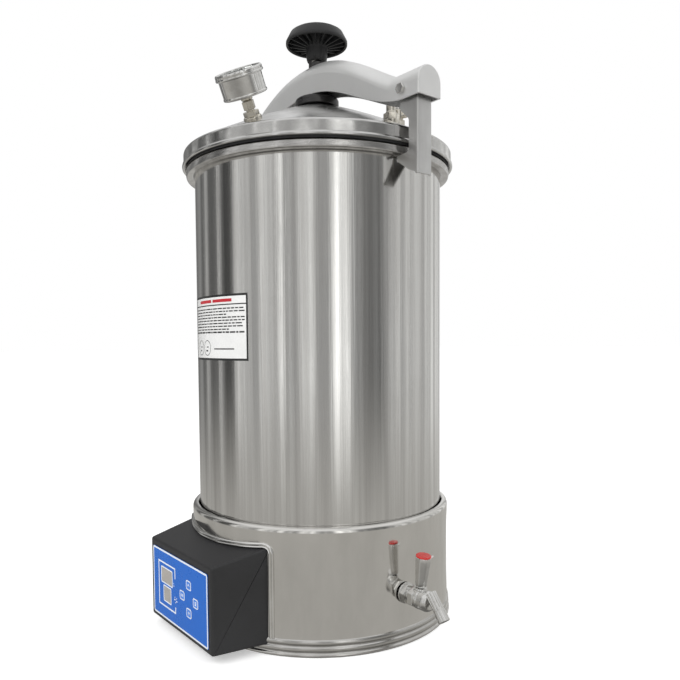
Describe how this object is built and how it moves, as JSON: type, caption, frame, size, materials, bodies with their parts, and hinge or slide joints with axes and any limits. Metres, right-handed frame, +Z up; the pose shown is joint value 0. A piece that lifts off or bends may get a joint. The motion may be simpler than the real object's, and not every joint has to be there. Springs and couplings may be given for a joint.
{
  "type": "benchtop autoclave",
  "caption": "Upright steam steriliser: polished cylindrical vessel on a base drum, domed lid held by a hooked clamp arm with a handwheel, gauge, drain tap and side control box.",
  "frame": {"origin": "on the barrel's axis, in the plane that the base ring stands on", "axes": "+Z up along the barrel's axis; -Y towards the control panel; X along the clamp arm, with the drain tap at +X"},
  "size_m": [0.3928, 0.3544, 0.68],
  "materials": {
    "polished_steel": "mirror-polished stainless sheet with faint vertical drawing lines",
    "satin_steel": "satin stainless sheet, buffed",
    "chrome": "bright plated",
    "black_moulding": "black phenolic moulding, semi-gloss",
    "black_paint": "fine-textured black powder coat",
    "black_rubber": "moulded rubber",
    "dark_steel": "blackened steel, oiled",
    "zinc": "zinc-plated fasteners",
    "nickel_brass": "nickel-plated brass, slightly warm",
    "heater_sheath": "heat-tinted steel sheath",
    "panel_film": "blue membrane overlay with white printed lines",
    "display_window": "smoked display window",
    "circuit_board": "green solder mask",
    "relay_case": "moulded relay case",
    "transformer_steel": "varnished laminations and winding",
    "label_film": "white film label with black border",
    "red_plastic": "red plastic",
    "dial_white": "white printed dial",
    "pointer_black": "black pointer",
    "gauge_glass": "clear window"
  },
  "bodies": {
    "base": {"base_ring": "satin_steel", "bottom_plate": "satin_steel", "base_shell": "polished_steel", "shell_lip": "polished_steel", "box_gasket": "black_rubber", "control_box": "black_paint", "control_panel": "panel_film", "display_upper": "display_window", "display_lower": "display_window", "control_board": "circuit_board", "relay": "relay_case", "transformer": "transformer_steel", "box_screws": "zinc", "chamber": "polished_steel", "chamber_flange": "satin_steel", "label_plate": "label_film", "heater_element": "heater_sheath", "heater_nuts": "zinc", "basket_stand": "satin_steel", "temperature_probe": "satin_steel", "drain_pipe": "nickel_brass", "tap_body": "chrome", "tap_nut": "chrome", "tap_spout": "chrome", "cable_gland": "black_rubber", "earth_terminal": "zinc"},
    "key_up": {"key_up": "panel_film"},
    "key_down": {"key_down": "panel_film"},
    "key_left": {"key_left": "panel_film"},
    "key_right": {"key_right": "panel_film"},
    "tap_lever": {"tap_handle": "chrome", "tap_cap": "red_plastic"},
    "basket": {"basket": "satin_steel", "basket_pivots": "satin_steel"},
    "bail": {"basket_handle": "satin_steel"},
    "clamp": {"clamp_arm": "satin_steel", "arm_bush": "dark_steel", "hook_pin_left": "chrome", "hook_pin_right": "chrome"},
    "hook_left": {"hook_left": "satin_steel"},
    "hook_right": {"hook_right": "satin_steel"},
    "lid": {"lid": "polished_steel", "lid_seal": "black_rubber", "lid_boss": "dark_steel", "thrust_ring": "zinc", "gauge_socket": "nickel_brass", "gauge_stem": "nickel_brass", "gauge_case": "chrome", "gauge_dial": "dial_white", "gauge_glass": "gauge_glass", "gauge_bezel": "chrome", "safety_valve": "nickel_brass", "exhaust_valve": "nickel_brass"},
    "pointer": {"gauge_pointer": "pointer_black"},
    "safety_stem": {"safety_stem": "chrome"},
    "exhaust_lever": {"exhaust_lever": "chrome"},
    "screw": {"spindle": "chrome", "handwheel": "black_moulding", "wheel_nut": "zinc"}
  },
  "joints": [
    {"name": "closure_shift", "type": "slide", "parent": "base", "child": "clamp", "axis": [0, 1, 0], "range_m": [0, 0.33]},
    {"name": "screw_turn", "type": "hinge", "parent": "lid", "child": "screw", "pos_m": [0, 0, 0.66], "axis": [0, 0, 1], "range_deg": [0, 360]},
    {"name": "lid_travel", "type": "slide", "parent": "clamp", "child": "lid", "axis": [0, 0, 1], "range_m": [0, 0.004]},
    {"name": "hook_left_swing", "type": "hinge", "parent": "clamp", "child": "hook_left", "pos_m": [-0.1585, 0, 0.5624], "axis": [0, 1, 0], "range_deg": [0, 16]},
    {"name": "hook_right_swing", "type": "hinge", "parent": "clamp", "child": "hook_right", "pos_m": [0.1585, 0, 0.5624], "axis": [0, -1, 0], "range_deg": [0, 16]},
    {"name": "basket_lift", "type": "slide", "parent": "base", "child": "basket", "axis": [0, 0, 1], "range_m": [0, 0.05]},
    {"name": "bail_swing", "type": "hinge", "parent": "basket", "child": "bail", "pos_m": [0, 0, 0.444], "axis": [-1, 0, 0], "range_deg": [0, 180]},
    {"name": "tap_turn", "type": "hinge", "parent": "base", "child": "tap_lever", "pos_m": [0.1725, -0.005, 0.0545], "axis": [0.1219, 0, 0.9925], "range_deg": [0, 90]},
    {"name": "gauge_needle", "type": "hinge", "parent": "lid", "child": "pointer", "pos_m": [0.05564, -0.13771, 0.57824], "axis": [-0.1929, 0.4775, -0.8572], "range_deg": [0, 270], "stiffness_Nm_per_rad": 0.0005, "springref_deg": -5.73},
    {"name": "safety_valve_pull", "type": "slide", "parent": "lid", "child": "safety_stem", "axis": [0, 0, 1], "range_m": [0, 0.004], "stiffness_N_per_m": 1200, "springref_m": -0.003},
    {"name": "exhaust_turn", "type": "hinge", "parent": "lid", "child": "exhaust_lever", "pos_m": [0.074, 0.06, 0.58047], "axis": [0, 0, 1], "range_deg": [0, 90]},
    {"name": "press_up", "type": "slide", "parent": "base", "child": "key_up", "axis": [0, 1, 0], "range_m": [0, 0.0004], "stiffness_N_per_m": 1500, "springref_m": -0.0004},
    {"name": "press_down", "type": "slide", "parent": "base", "child": "key_down", "axis": [0, 1, 0], "range_m": [0, 0.0004], "stiffness_N_per_m": 1500, "springref_m": -0.0004},
    {"name": "press_left", "type": "slide", "parent": "base", "child": "key_left", "axis": [0, 1, 0], "range_m": [0, 0.0004], "stiffness_N_per_m": 1500, "springref_m": -0.0004},
    {"name": "press_right", "type": "slide", "parent": "base", "child": "key_right", "axis": [0, 1, 0], "range_m": [0, 0.0004], "stiffness_N_per_m": 1500, "springref_m": -0.0004}
  ],
  "couplings": [
    {"joint": "screw_turn", "follows": "lid_travel", "rad_per_m": 1570.8}
  ]
}
